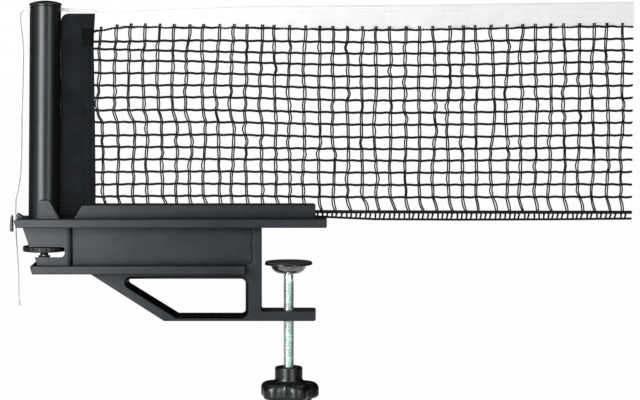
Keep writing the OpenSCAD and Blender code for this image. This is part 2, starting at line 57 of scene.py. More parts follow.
# ---- camera, lamps, floor
def linked(name, data):
    obj = bpy.data.objects.new(name, data)
    bpy.context.collection.objects.link(obj)
    return obj


def aimed(obj, place, target):
    obj.location = place
    obj.rotation_mode = "QUATERNION"
    obj.rotation_quaternion = (target - obj.location).to_track_quat("-Z", "Y")


def quad(name, corners, material):
    mesh = bpy.data.meshes.new(name)
    mesh.from_pydata(corners, [], [(0, 1, 2, 3)])
    mesh.materials.append(material)
    return linked(name, mesh)


def camera():
    """A long lens, a little above the plate."""
    target, away, pitch, width_seen = Vector((0.0216, 0, 0.0178)), 1.8, math.radians(4.3), 0.4401
    data = bpy.data.cameras.new("camera")
    data.sensor_width = 36
    data.lens = data.sensor_width * away / width_seen
    cam = linked("camera", data)
    aimed(cam, target + Vector((0, -math.cos(pitch), math.sin(pitch))) * away, target)
    bpy.context.scene.camera = cam


def lamp(name, azimuth, elevation, away, size, radiance, aim=(0, 0, 0.02), sheen_only=False):
    """A soft panel that shines at the object. Azimuth 0 is the camera's side, and positive is to its right.
    Only reflections see a sheen_only panel."""
    a, e = math.radians(azimuth), math.radians(elevation)
    data = bpy.data.lights.new(name, "AREA")
    data.color = (0.9, 0.985, 1.0) if sheen_only else (1, 1, 1)
    data.shape = "RECTANGLE"
    data.size, data.size_y = size
    data.energy = radiance * size[0] * size[1] * math.pi
    obj = linked(name, data)
    aim = Vector(aim)
    aimed(obj, aim + away * Vector((math.sin(a) * math.cos(e), -math.cos(a) * math.cos(e), math.sin(e))), aim)
    obj.visible_camera = False
    obj.visible_diffuse = not sheen_only
    return obj


def flag(name, start, end, top):
    """A black card, upright from start to end (x, y), that only reflections see. It gives the dark pieces
    dark edges."""
    corners = [(*start, FLAG_Z), (*end, FLAG_Z), (*end, top), (*start, top)]
    card = quad(name, corners, MATERIALS["flag"])
    card.visible_camera = card.visible_diffuse = card.visible_transmission = card.visible_shadow = False


def seen_directly(tree):
    """1 for camera, glossy and transmission rays, and 0 for the others."""
    path = tree.nodes.new("ShaderNodeLightPath")
    total = path.outputs["Is Camera Ray"]
    for other in ("Is Glossy Ray", "Is Transmission Ray"):
        add = tree.nodes.new("ShaderNodeMath")
        add.operation = "ADD"
        add.use_clamp = True
        tree.links.new(total, add.inputs[0])
        tree.links.new(path.outputs[other], add.inputs[1])
        total = add.outputs[0]
    return total


def studio():
    """A white room: the world and the floor look white, and light the object less than they look."""
    world_light, floor_glow, floor_half = 0.42, 0.975, 14.0
    bpy.context.scene.view_settings.view_transform = "Standard"
    world = bpy.data.worlds.new("studio")
    world.use_nodes = True
    tree = world.node_tree
    back = tree.nodes["Background"]
    back.inputs["Color"].default_value = (1, 1, 1, 1)
    link = tree.links.new
    level = tree.nodes.new("ShaderNodeMapRange")
    level.inputs["To Min"].default_value = world_light
    level.inputs["To Max"].default_value = 1.0
    link(seen_directly(tree), level.inputs["Value"])
    link(level.outputs["Result"], back.inputs["Strength"])
    bpy.context.scene.world = world

    # The panels draw the streaks on the tube, the plate, the screw and the knob. The key and the back lamp
    # light the faces and leave no streak of their own.
    post = (-0.168, 0, 0.02)
    lamp("panel_left", -23, 13, 0.45, (0.22, 0.36), 26, post, True)
    lamp("panel_right", 30, 0, 1.2, (0.56, 0.55), 12, post, True)
    lamp("panel_low", -30, 0, 0.5, (0.09, 0.16), 30, (0, 0, -0.1), True)
    lamp("lamp_key", -58, 14, 0.75, (0.5, 0.46), 7.6, (-0.05, 0, 0.02)).visible_glossy = False
    lamp("lamp_fill", 30, 22, 1.5, (0.7, 0.7), 2.4)
    lamp("lamp_back", 165, 22, 1.8, (1.2, 1.0), 1.4).visible_glossy = False

    flag("flag_front", (-0.13, -1.05), (0.9, -1.05), 0.3)
    flag("flag_right", (0.9, -0.6), (0.9, 1.2), 1.3)
    flag("flag_back", (-1.4, 1.3), (1.4, 1.3), 1.3)
    flag("flag_left", (-1.2, -0.1), (-1.2, 1.2), 1.3)

    mat = bpy.data.materials.new("floor")
    mat.use_nodes = True
    tree = mat.node_tree
    link = tree.links.new
    paint = tree.nodes["Principled BSDF"]
    paint.inputs["Base Color"].default_value = (0.9, 0.9, 0.9, 1)
    paint.inputs["Roughness"].default_value = 0.9
    glow = tree.nodes.new("ShaderNodeEmission")
    share = tree.nodes.new("ShaderNodeMath")
    share.operation = "MULTIPLY"
    share.inputs[1].default_value = floor_glow
    mix = tree.nodes.new("ShaderNodeMixShader")
    link(seen_directly(tree), share.inputs[0])
    link(share.outputs[0], mix.inputs["Fac"])
    link(paint.outputs["BSDF"], mix.inputs[1])
    link(glow.outputs["Emission"], mix.inputs[2])
    link(mix.outputs["Shader"], tree.nodes["Material Output"].inputs["Surface"])
    corners = [(x * floor_half, y * floor_half, FLOOR_Z) for x, y in ((-1, -1), (1, -1), (1, 1), (-1, 1))]
    floor = quad("floor", corners, mat)


# ---- materials
class Finish:
    """A Principled material with colour, roughness and bump from node textures at real scale."""

    def __init__(self, name, rough=0.5, **sockets):
        self.mat = bpy.data.materials.new(name)
        self.mat.use_nodes = True
        self.tree = self.mat.node_tree
        self.shader = self.tree.nodes["Principled BSDF"]
        self.shader.inputs["Roughness"].default_value = rough
        for socket, value in sockets.items():
            self.shader.inputs[socket.replace("_", " ")].default_value = value
        self.place = self.node("ShaderNodeTexCoord").outputs["Object"]
        self.normal = None

    def node(self, kind, **values):
        n = self.tree.nodes.new(kind)
        for key, value in values.items():
            setattr(n, key, value)
        return n

    def link(self, a, b):
        self.tree.links.new(a, b)

    def stretched(self, scale):
        n = self.node("ShaderNodeMapping")
        n.inputs["Scale"].default_value = scale
        self.link(self.place, n.inputs["Vector"])
        return n.outputs["Vector"]

    def noise(self, size, detail=2.0, stretch=None):
        """Noise whose blotches are about size millimetres across."""
        n = self.node("ShaderNodeTexNoise")
        n.inputs["Scale"].default_value = 1 / (size * MM)
        n.inputs["Detail"].default_value = detail
        self.link(self.stretched(stretch) if stretch else self.place, n.inputs["Vector"])
        return n.outputs["Fac"]

    def bands(self, pitch, direction, distort=0.0):
        """Parallel bands a pitch apart, in millimetres."""
        n = self.node("ShaderNodeTexWave", wave_type="BANDS", bands_direction=direction)
        n.inputs["Scale"].default_value = TAU / ((10 if direction == "DIAGONAL" else 20) * pitch * MM)
        n.inputs["Distortion"].default_value = distort
        n.inputs["Detail Scale"].default_value = 1.0
        self.link(self.place, n.inputs["Vector"])
        return n.outputs["Fac"]

    def math(self, operation, a, b):
        n = self.node("ShaderNodeMath", operation=operation)
        for socket, value in zip(n.inputs, (a, b)):
            if isinstance(value, (int, float)):
                socket.default_value = value
            else:
                self.link(value, socket)
        return n.outputs[0]

    def blend(self, a, share, b):
        """A share of a, and b for the rest."""
        return self.math("ADD", self.math("MULTIPLY", a, share), self.math("MULTIPLY", b, 1 - share))

    def ranged(self, value, low, high, start=0.3, end=0.7):
        n = self.node("ShaderNodeMapRange")
        for socket, v in (("From Min", start), ("From Max", end), ("To Min", low), ("To Max", high)):
            n.inputs[socket].default_value = v
        self.link(value, n.inputs["Value"])
        return n.outputs["Result"]

    def colour(self, value, *stops):
        """Stops are (place, (r, g, b))."""
        n = self.node("ShaderNodeValToRGB")
        ramp = n.color_ramp
        while len(ramp.elements) < len(stops):
            ramp.elements.new(0.5)
        for e, (at, rgb) in zip(ramp.elements, stops):
            e.position = at
            e.color = (*rgb, 1)
        self.link(value, n.inputs["Fac"])
        self.link(n.outputs["Color"], self.shader.inputs["Base Color"])

    def roughness(self, value, low, high):
        self.link(self.ranged(value, low, high), self.shader.inputs["Roughness"])

    def soften(self, radius):
        """Rounds every edge in the shading, by a radius in millimetres."""
        n = self.node("ShaderNodeBevel", samples=6)
        n.inputs["Radius"].default_value = radius * MM
        self.normal = n.outputs["Normal"]
        self.link(self.normal, self.shader.inputs["Normal"])

    def bump(self, value, height):
        """Relief of a height in millimetres, over what is there."""
        n = self.node("ShaderNodeBump")
        n.inputs["Distance"].default_value = height * MM
        self.link(value, n.inputs["Height"])
        if self.normal:
            self.link(self.normal, n.inputs["Normal"])
        self.normal = n.outputs["Normal"]
        self.link(self.normal, self.shader.inputs["Normal"])


def moulding(name, dark, light, rough, spread, edge, specular=0.3, grain=0.02, shade_reach=0.0):
    """Moulded plastic with a fine grain and soft edges, and painted shade that darkens its colour near inner
    corners, out to a given reach in mm.
    """
    f = Finish(name, Specular_IOR_Level=specular)
    f.soften(edge)
    tone = f.blend(f.noise(34, 3, (1, 1, 2.4)), 0.7, f.noise(1.6, 2))
    if shade_reach:
        # Ambient occlusion darkens the colour towards near black close to inner corners: painted shade.
        corner = f.node("ShaderNodeAmbientOcclusion", samples=8)
        corner.inputs["Distance"].default_value = shade_reach * MM
        tone = f.math("MULTIPLY", tone, f.ranged(corner.outputs["AO"], 0.0, 1.0, 0.55, 1.0))
        f.colour(tone, (0.0, (0.0008, 0.0008, 0.001)), (0.35, dark), (0.65, light))
    else:
        f.colour(tone, (0.35, dark), (0.65, light))
    f.roughness(f.noise(5, 4), rough - spread, rough + spread)
    f.bump(f.noise(0.35, 2), grain)
    return f.mat


def enamel():
    """Satin black coat on the tube, with orange peel and faint lines along it."""
    f = Finish("tube", Specular_IOR_Level=0.2)
    f.colour(f.noise(9, 3, (1, 1, 0.2)), (0.3, (0.0035, 0.0038, 0.0045)), (0.7, (0.006, 0.0064, 0.0075)))
    f.roughness(f.noise(3, 4, (1, 1, 0.06)), 0.28, 0.36)
    f.bump(f.noise(1.4, 2), 0.012)
    f.bump(f.noise(0.5, 2, (1, 1, 0.02)), 0.004)
    return f.mat


def twill(name, dark, light, pitch):
    """Woven black cloth: diagonal ribs crossed by threads."""
    f = Finish(name, rough=0.85, Specular_IOR_Level=0.05, Sheen_Weight=0.02, Sheen_Roughness=0.5)
    rib = f.bands(pitch, "DIAGONAL", 0.8)
    thread = f.bands(0.42, "Z", 0.3)
    weave = f.blend(rib, 0.7, thread)
    f.colour(f.blend(f.noise(14, 4), 0.5, weave), (0.38, dark), (0.74, light))
    f.bump(weave, 0.2)
    f.bump(f.noise(0.2, 2), 0.04)
    return f.mat


def yarn(name, dark, light, pitch, fuzz=0.0):
    """Spun cord: fibres that wind round it."""
    f = Finish(name, rough=0.8, Specular_IOR_Level=0.1, Sheen_Weight=fuzz)
    wind = f.bands(pitch, "DIAGONAL", 1.2)
    f.colour(f.blend(wind, 0.5, f.noise(2.2, 3)), (0.25, dark), (0.75, light))
    f.bump(wind, 0.05)
    f.bump(f.noise(0.12, 2), 0.02)
    return f.mat


def plain_weave():
    """Thin white cloth."""
    f = Finish("tape", rough=0.9, Specular_IOR_Level=0.2, Sheen_Weight=0.1)
    weave = f.blend(f.bands(0.5, "X", 0.2), 0.5, f.bands(0.5, "Z", 0.2))
    f.colour(f.blend(weave, 0.35, f.noise(8, 3, (0.5, 1, 1))),
             (0.3, (0.88, 0.885, 0.89)), (0.7, (0.95, 0.95, 0.95)))
    f.bump(weave, 0.05)
    f.bump(f.noise(5, 2, (0.6, 1, 1.6)), 0.25)
    return f.mat


def plated(name, dark, light, rough, turned=0.0, metallic=1.0):
    """Plated or turned metal, with fine marks round its axis."""
    f = Finish(name, Metallic=metallic)
    f.soften(0.12)
    f.colour(f.noise(2.5, 4), (0.3, dark), (0.7, light))
    f.roughness(f.noise(1.1, 4), rough - 0.07, rough + 0.09)
    f.bump(f.noise(0.3, 2), 0.01)
    if turned:
        f.bump(f.bands(turned, "Z", 0.4), 0.006)
    return f.mat


def rubber():
    """Dull rubber with a coarse skin."""
    f = Finish("facing", Specular_IOR_Level=0.25)
    f.soften(0.2)
    f.colour(f.noise(2.2, 4), (0.3, (0.017, 0.012, 0.010)), (0.7, (0.032, 0.024, 0.020)))
    f.roughness(f.noise(1.2, 3), 0.72, 0.9)
    f.bump(f.noise(0.45, 3), 0.05)
    return f.mat


# Dark and light colour, roughness and its spread, edge radius, specular level, grain and the reach of painted
# shade out of inner corners (in mm).
MOULDINGS = {
    "body": ((0.0185, 0.0212, 0.0255), (0.0275, 0.0305, 0.036), 0.35, 0.04, 0.35, 0.11, 0.02, 7.0),
    # rim: a near-black copy of the body's moulding, painted shade on the walls of the brace's hole.
    "rim": ((0.0015, 0.0016, 0.002), (0.003, 0.0032, 0.004), 0.4, 0.05, 0.2, 0.06),
    "cleat": ((0.020, 0.022, 0.026), (0.032, 0.035, 0.040), 0.45, 0.06, 0.2, 0.2),
    "cap": ((0.006, 0.006, 0.0065), (0.010, 0.010, 0.011), 0.22, 0.04, 0.25, 0.25, 0.006),
    "foot": ((0.02, 0.02, 0.022), (0.035, 0.035, 0.038), 0.55, 0.05, 0.2),
    "rod": ((0.55, 0.52, 0.42), (0.7, 0.67, 0.58), 0.5, 0.05, 0.1),
    "wheel": ((0.007, 0.007, 0.008), (0.012, 0.012, 0.013), 0.4, 0.05, 0.2, 0.12, 0.008),
    "seat": ((0.55, 0.53, 0.45), (0.68, 0.66, 0.58), 0.4, 0.05, 0.1),
    "knob": ((0.003, 0.003, 0.0034), (0.007, 0.007, 0.0076), 0.29, 0.05, 0.4, 0.28, 0.01),
    "pad": ((0.006, 0.006, 0.0062), (0.011, 0.011, 0.0115), 0.17, 0.05, 0.15, 0.5, 0.005),
}
# Dark and light colour, and the ribs' pitch.
TWILLS = {
    "sleeve": ((0.003, 0.0037, 0.0045), (0.021, 0.0245, 0.029), 1.7),
    "patch": ((0.0004, 0.0004, 0.0005), (0.002, 0.0022, 0.0025), 1.1),
    "flag": ((0.001, 0.001, 0.001), (0.002, 0.002, 0.002), 2.0),
}
# Dark and light colour, the twist's pitch, and the fuzz.
YARNS = {
    # thread: dark thread, made darker than the cloth as painted shade of the dents the stitches pull in it.
    "thread": ((0.0006, 0.0006, 0.0008), (0.002, 0.002, 0.0025), 0.5),
    "mesh": ((0.003, 0.003, 0.0035), (0.012, 0.012, 0.013), 0.9),
    "strand": ((0.006, 0.006, 0.007), (0.020, 0.020, 0.022), 0.7),
    "seam": ((0.62, 0.64, 0.66), (0.78, 0.79, 0.8), 0.5),
    "cord": ((0.9, 0.895, 0.885), (0.97, 0.97, 0.965), 0.8, 0.1),
}
# Dark and light colour, roughness, pitch of the turning marks (0 for none), and how metallic.
PLATINGS = {
    "steel": ((0.66, 0.76, 0.72), (0.82, 0.9, 0.865), 0.27, 0.0, 0.9),
    # groove: a darker steel, painted shade in the hollows of the clamp screw's thread.
    "groove": ((0.16, 0.18, 0.175), (0.32, 0.36, 0.345), 0.4, 0.0, 0.9),
    "bush": ((0.50, 0.37, 0.15), (0.68, 0.53, 0.26), 0.3, 0.3),
    "bowl": ((0.10, 0.104, 0.107), (0.26, 0.265, 0.27), 0.2, 0.0, 0.85),
}


def make_materials():
    made = {"tube": enamel(), "facing": rubber(), "tape": plain_weave()}
    for make, table in ((moulding, MOULDINGS), (twill, TWILLS), (yarn, YARNS), (plated, PLATINGS)):
        for name, values in table.items():
            made[name] = make(name, *values)
    return made


# ---- mesh making
def unit(v):
    return v / np.linalg.norm(v)


def rounded(corners, steps=5):
    """The outline of corners (x, z, radius), with each rounded one as an arc of so many steps."""
    out = []
    for i, (x, z, r) in enumerate(corners):
        b = np.array((x, z), float)
        if r == 0:
            out.append(b)
            continue
        u = unit(np.array(corners[i - 1][:2]) - b)
        v = unit(np.array(corners[(i + 1) % len(corners)][:2]) - b)
        half = math.acos(float(np.clip(u @ v, -1, 1))) / 2
        mid = b + unit(u + v) * r / math.sin(half)
        p, q = b + u * r / math.tan(half) - mid, b + v * r / math.tan(half) - mid
        start = math.atan2(p[1], p[0])
        turn = (math.atan2(q[1], q[0]) - start + 3 * math.pi) % TAU - math.pi
        out += [mid + r * np.array((math.cos(start + turn * k / steps), math.sin(start + turn * k / steps)))
                for k in range(steps + 1)]
    return np.array(out)


def inwards(outline, d):
    """A counterclockwise outline with every side moved inwards by d."""
    side = np.roll(outline, -1, 0) - outline
    side /= np.linalg.norm(side, axis=1)[:, None]
    n = np.stack((-side[:, 1], side[:, 0]), 1)
    m = np.roll(n, 1, 0)
    return outline + (n + m) / np.maximum(1 + (n * m).sum(1), 0.3)[:, None] * d


def inside(x, z, outline):
    """Whether a point lies within a counterclockwise outline."""
    a, b = outline, np.roll(outline, -1, 0)
    crossed = (a[:, 1] > z) != (b[:, 1] > z)
    at = a[:, 0] + (z - a[:, 1]) * (b[:, 0] - a[:, 0]) / np.where(crossed, b[:, 1] - a[:, 1], 1)
    return int(np.sum(crossed & (x < at))) % 2 == 1


def counterclockwise(p):
    area = np.sum(p[:, 0] * np.roll(p[:, 1], -1) - np.roll(p[:, 0], -1) * p[:, 1])
    return p if area > 0 else p[::-1]


def soft_edge(low, high, edge, steps=3):
    """(place, inset) pairs from one face to the other, with both edges rounded."""
    near = [(low + edge * (1 - math.cos(a)), edge * (1 - math.sin(a)))
            for a in np.linspace(0, math.pi / 2, steps + 1)]
    return near + [(high - (y - low), d) for y, d in reversed(near)]


def prism(outline, steps, holes=(), hole_steps=(), upright=True):
    """An outline carried through (place, inset) steps: along Y if upright, else along Z, with holes."""
    verts, faces, low, high = [], [], [], []
    for k, loop in enumerate([outline, *holes]):
        loop = counterclockwise(np.asarray(loop, float))
        n, base, stations = len(loop), len(verts), steps if k == 0 else hole_steps
        for place, inset in stations:
            q = inwards(loop, inset if k == 0 else -inset)
            verts += [(x, place, z) if upright else (x, z, place) for x, z in q]
        for r in range(len(stations) - 1):
            for i in range(n):
                a, b = base + r * n + i, base + r * n + (i + 1) % n
                faces.append((a, b, b + n, a + n))
        low.append(list(range(base, base + n)))
        high.append(list(range(len(verts) - n, len(verts))))
    for loops in (low, high):
        if len(loops) == 1:
            faces.append(tuple(loops[0]))
            continue
        flat = [i for loop in loops for i in loop]
        across = 2 if upright else 1
        ends = [[Vector((verts[i][0], verts[i][across], 0)) for i in loop] for loop in loops]
        faces += [tuple(flat[i] for i in t) for t in tessellate_polygon(ends)]
    return verts, faces


def slab(corners, y0, y1, edge=0.5):
    """A plate of corners (x, z, radius) from y0 to y1, with softened edges."""
    return prism(rounded(corners), soft_edge(y0, y1, edge))


def surface(points, close_v=False, caps=False):
    """A grid of points [u][v] as quads. close_v closes each row, and caps fills the first and the last."""
    points = np.asarray(points, float)
    nu, nv = points.shape[:2]
    u = np.arange(nu - 1)[:, None]
    v = np.arange(nv if close_v else nv - 1)[None, :]
    a = u * nv + v
    b = u * nv + (v + 1) % nv
    c = (u + 1) * nv + (v + 1) % nv
    d = (u + 1) * nv + v
    faces = [tuple(f) for f in np.stack((a, b, c, d), -1).reshape(-1, 4).tolist()]
    if caps:
        faces += [tuple(range(nv))[::-1], tuple(range((nu - 1) * nv, nu * nv))]
    return points.reshape(-1, 3).tolist(), faces


def lathe(profile, x, steps, shape=None):
    """A profile of (radius, z) turned about an upright axis at x. shape(radius, angles) may change it."""
    w = np.arange(steps) * TAU / steps
    rows = []
    for r, z in profile:
        radius = np.full(steps, float(r)) if shape is None else shape(r, w)
        rows.append(np.stack((x + radius * np.cos(w), radius * np.sin(w), np.full(steps, float(z))), 1))
    return surface(rows, close_v=True)


def drum(x, r, low, high, steps):
    return lathe([(0, low), (r, low), (r, high), (0, high)], x, steps)


def tube(path, radius, sides=6, lobes=0, lay=1.0, depth=0.0, across=(0, 1, 0)):
    """A cord along path; radius is one number or one per point. lobes strands wind round it in each lay."""
    path = np.asarray(path, float)
    ahead = np.gradient(path, axis=0)
    ahead /= np.linalg.norm(ahead, axis=1)[:, None]
    side = np.cross(ahead, across)
    side /= np.linalg.norm(side, axis=1)[:, None]
    up = np.cross(side, ahead)
    run = np.concatenate(([0], np.cumsum(np.linalg.norm(np.diff(path, axis=0), axis=1))))
    w = np.arange(sides) * TAU / sides
    r = np.broadcast_to(np.asarray(radius, float), (len(path),))[:, None] * np.ones(sides)
    if lobes:
        r = r * (1 - depth * (1 - np.abs(np.cos(lobes / 2 * (w[None, :] - TAU * run[:, None] / lay)))))
    return surface(path[:, None] + side[:, None] * (r * np.cos(w))[..., None]
                   + up[:, None] * (r * np.sin(w))[..., None], close_v=True, caps=True)


def curve(points, spacing):
    """A smooth curve through the points, sampled about every spacing."""
    p = np.asarray(points, float)
    ends = np.concatenate(([2 * p[0] - p[1]], p, [2 * p[-1] - p[-2]]))
    out = []
    for i in range(len(p) - 1):
        a, b, c, d = ends[i:i + 4]
        for t in np.linspace(0, 1, 16, endpoint=False):
            out.append(0.5 * (2 * b + (c - a) * t + (2 * a - 5 * b + 4 * c - d) * t * t
                              + (3 * b - a - 3 * c + d) * t ** 3))
    out = np.array(out + [p[-1]])
    run = np.concatenate(([0], np.cumsum(np.linalg.norm(np.diff(out, axis=0), axis=1))))
    at = np.linspace(0, run[-1], max(2, int(run[-1] / spacing)))
    return np.stack([np.interp(at, run, out[:, k]) for k in range(out.shape[1])], 1)


def piece(name, parts, finish, body, slot=None, replaces=(), sharp=38, weighted=True):
    """One object of several (verts, faces) parts, riding on a body. Edges over sharp degrees stay sharp,
    and weighted evens the shading of flat faces beside rounded edges."""
    verts, faces = [], []
    for v, f in parts:
        n = len(verts)
        verts += v
        faces += [tuple(i + n for i in face) for face in f]
    mesh = bpy.data.meshes.new(name)
    mesh.from_pydata((np.array(verts) * MM).tolist(), [], faces)
    bm = bmesh.new()
    bm.from_mesh(mesh)
    bmesh.ops.remove_doubles(bm, verts=bm.verts, dist=1e-7)
    bmesh.ops.recalc_face_normals(bm, faces=bm.faces)
    bm.to_mesh(mesh)
    bm.free()
    obj = linked(name, mesh)
    mesh.materials.append(MATERIALS[finish])
    shade(obj, sharp, weighted)
    if body:
        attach(obj, body)
        if replaces:
            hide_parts(*replaces)
    return obj


def cord_piece(name, parts, finish, **more):
    """Thin cords on the post, smooth all round."""
    return piece(name, parts, finish, "post", sharp=180, weighted=False, **more)


def shade(obj, sharp=38, weighted=True):
    obj.data.shade_smooth()
    obj.data.set_sharp_from_angle(angle=math.radians(sharp))
    if weighted:
        obj.modifiers.new("normals", "WEIGHTED_NORMAL").keep_sharp = True
        apply_modifiers(obj)


def apply_modifiers(obj):
    made = bpy.data.meshes.new_from_object(obj.evaluated_get(bpy.context.evaluated_depsgraph_get()))
    old, obj.data = obj.data, made
    obj.modifiers.clear()
    bpy.data.meshes.remove(old)
    made.name = obj.name


def refinish(obj, finish, chosen):
    """A second finish, on the faces that chosen(centre in mm, normal) picks."""
    obj.data.materials.append(MATERIALS[finish])
    for face in obj.data.polygons:
        if chosen(face.center / MM, face.normal):
            face.material_index = 1


def solid(part):
    """A working object for combine()."""
    return piece("part", [part], "body", None, weighted=False)


def combine(obj, other, operation):
    """other is an object, or a part to make one of."""
    if isinstance(other, tuple):
        other = solid(other)
    m = obj.modifiers.new("combine", "BOOLEAN")
    m.operation, m.object, m.solver = operation, other, "EXACT"
    apply_modifiers(obj)
    bpy.data.objects.remove(other)
    return obj


# ---- clamp body
def clamp_body():
    """The plate with all that is moulded on it, then the slot, bores and pockets cut from it."""
    plate = [(-185.6, 0, 0), (26.3, 0, 1.1), (26.3, 5.7, 1.1), (-186.2, 5.7, 0.5), (-187.3, 4.6, 0.5)]
    fence = [(-147.1, 5, 0), (19.5, 5, 0), (18.5, 7.7, 0), (18.5, 14.9, 1.6), (-141.1, 14.9, 0.8)]
    ear = [(-170.6, 5, 0), (-155.6, 5, 0), (-163.1, 18.7, 1.4), (-170.1, 18.7, 1.4)]
    web = [(-152.4, -27, 0), (-20, -27, 0), (-20, 1, 0), (-152.4, 1, 0)]
    flange = [(-175.1, -32, 0.4), (-29.6, -32, 0.8), (-29.6, -26.3, 0.8), (-176.6, -26.3, 0.6)]
    body = solid(slab(plate, -18, 18, 0.6))
    add = []
    for side in (-1, 1):
        y = side * 8.5
        add.append(slab(fence, y - 1.5, y + 1.5, 0.5))
        y = side * 11.05
        add.append(slab(ear, y - 3, y + 3, 0.6))
    add.append(slab(web, -10, 10, 0.3))
    add.append(slab(flange, -17, 17, 0.7))
    # The spine, the brace with its hole and the arm are one frame.
    frame_outline = [(-136.9, -31.5, 0), (-85.4, -64.6, 0.8), (18.7, -64.6, 1.4), (18.7, -57.9, 1.4),
                     (-18.7, -57.9, 1.0), (-18.7, 1, 0), (-24.4, 1, 0), (-24.4, -24.3, 1.6),
                     (-30.6, -27.3, 0), (-30.6, -31.5, 0)]
    hole = [(-115.2, -36.2, 2), (-76.0, -60.7, 1.2), (-29.6, -60.7, 3), (-29.6, -36.2, 3)]
    rim = [(-12, 2.4), (-11.8, 1.95), (-11.3, 1.5), (-8.5, 0.5), (-5, 0), (5, 0), (8.5, 0.5), (11.3, 1.5),
           (11.8, 1.95), (12, 2.4)]
    add.append(prism(rounded(frame_outline), soft_edge(-12, 12, 0.6), [rounded(hole)], rim))
    for part in add:
        combine(body, part, "UNION")

    # The socket block, narrower below the thumbwheel's slot.
    def plan(x0, z0, z1):
        """The block's outline from above, from x0 on, between two heights."""
        half, far = 13.3, -147.8
        outline = rounded([(x0, -half, 1.5), (far, -half, 3.6), (far, half, 3.6), (x0, half, 1.5)], 8)
        return prism(outline, [(z0, 0), (z1, 0)], upright=False)

    taper = prism(np.array([(-181.8, 0.3), (-177.1, -13.5), (-140, -13.5), (-140, 0.3)]), [(-20, 0), (20, 0)])
    upper = combine(solid(plan(-181.7, -14, 0.2)), taper, "INTERSECT")
    lower = solid(plan(-173.5, -26.5, 0.2))
    foot = prism(np.array([(-173.5, 0.3), (-173.5, -20.4), (-171.6, -26.6), (-140, -26.6), (-140, 0.3)]),
                 [(-20, 0), (20, 0)])
    combine(lower, foot, "INTERSECT")
    slot = slab([(-200, -20.4, 0), (-153.1, -20.4, 1.6), (-153.1, -13.5, 1.6), (-200, -13.5, 0)],
                -20, 20, 0.01)
    # The slot's floor falls towards the back, but for a land round the height screw.
    fall = surface([[(x, -13.3, -20.39), (x, 14.3, -20.39), (x, 14.3, -23.4), (x, 13.3, -23.4)]
                    for x in (-187.3, -154.7)], close_v=True, caps=True)
    land = drum(POST_X, 4, -25, -19, 64)
    combine(lower, upper, "UNION")
    combine(lower, slot, "DIFFERENCE")
    combine(lower, combine(solid(fall), land, "DIFFERENCE"), "DIFFERENCE")
    combine(body, lower, "UNION")

    # The post's socket, the height screw over and under the wheel, the clamp screw's bush, the cord's notch.
    cuts = [drum(POST_X, 10.73, -4.5, 30, 96), drum(POST_X, 5.05, -14, -4, 48),
            drum(POST_X, 2.5, -25.4, -20, 32),
            lathe([(0, -66), (6.5, -66), (6.5, -59.1), (4.02, -59.1), (4.02, -57), (0, -57)], 0, 48),
            slab([(-189, -1, 0), (-184.5, -1, 0), (-184.5, 7, 0), (-189, 7, 0)], -1.6, 4.6, 0.01)]
    for cut in cuts:
        combine(body, cut, "DIFFERENCE")
    # The walls of the brace's hole take the near-black rim finish: painted shade.
    lip = inwards(counterclockwise(rounded(hole)), -2.7)
    refinish(body, "rim", lambda c, n: abs(n.y) < 0.97 and inside(c.x, c.z, lip))
    body.name = body.data.name = "clamp_body_shell"
    shade(body)
    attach(body, "frame")
    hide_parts("clamp_body")


def cord_cleat():
    hook = [(-191.9, -3.5, 0.8), (-189.8, -4.5, 0.6), (-189.8, 8.7, 0.6), (-191.3, 5.7, 0.8)]
    wedge = [(-186.8, 5.6, 0), (-181.1, 5.6, 0.2), (-186.5, 9.1, 0.4)]
    bridge = [(-191.0, 5.7, 0), (-185.4, 5.7, 0), (-185.4, 7.3, 0.5), (-191.0, 7.3, 0.5)]
    foot = [(-186.8, 0.1, 0.3), (-184.5, 0.1, 0), (-184.5, 5.8, 0), (-186.8, 5.8, 0.3)]
    piece("cord_cleat_shell", [slab(hook, -1.6, 4.6, 0.4), slab(wedge, -1.6, 4.6, 0.4),
                               slab(bridge, 1.6, 4.6, 0.3), slab(foot, 1.6, 4.6, 0.2)],
          "cleat", "frame", replaces=["cord_cleat"])


# ---- post
def leaning(parts):
    """Parts of the post as the taut net pulls them over, towards the table."""
    return [([(x + LEAN * z, y, z) for x, y, z in verts], faces) for verts, faces in parts]


def post_tube():
    inner, outer, low, top = 9.45, TUBE_R, -4.0, 151.2
    wall = [(inner, low), (outer - 0.2, low), (outer, low + 0.2), (outer, top - 0.3), (outer - 0.3, top),
            (inner, top), (inner, low)]
    tube_wall = solid(lathe(wall, POST_X, 160))
    x0, x1 = POST_X + 5, POST_X + 12
    sleeve_slot = slab([(x0, 14, 0), (x1, 14, 0), (x1, 160, 0), (x0, 160, 0)], -1.5, 1.5, 0.01)
    cord_hole = tube([(POST_X - 14, 0, 148.5), (POST_X - 6, 0, 148.5)], 1.6, 24)
    for cut in (sleeve_slot, cord_hole):
        combine(tube_wall, cut, "DIFFERENCE")
    for v in tube_wall.data.vertices:
        v.co.x += LEAN * v.co.z
    tube_wall.name = tube_wall.data.name = "post_tube_shell"
    tube_wall.data.materials.clear()
    tube_wall.data.materials.append(MATERIALS["tube"])
    shade(tube_wall)
    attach(tube_wall, "post")
    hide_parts("post_tube")


def post_cap():
    rim, low, dome = 11.15, 151.2, 2.0
    ball = (rim ** 2 + dome ** 2) / (2 * dome)
    top = low + 1.4
    profile = [(0, 140.2), (8.9, 140.2), (9.4, 140.7), (9.4, low), (rim - 0.35, low), (rim, low + 0.35),
               (rim, top - 0.45), (rim - 0.12, top - 0.15), (rim - 0.45, top + 0.05)]
    profile += [(r, top + dome - ball + math.sqrt(ball ** 2 - r ** 2))
                for r in np.linspace(rim - 0.8, 0.8, 12)]
    profile.append((0, top + dome))
    piece("post_cap_shell", leaning([lathe(profile, POST_X, 128)]), "cap", "post", replaces=["post_cap"])


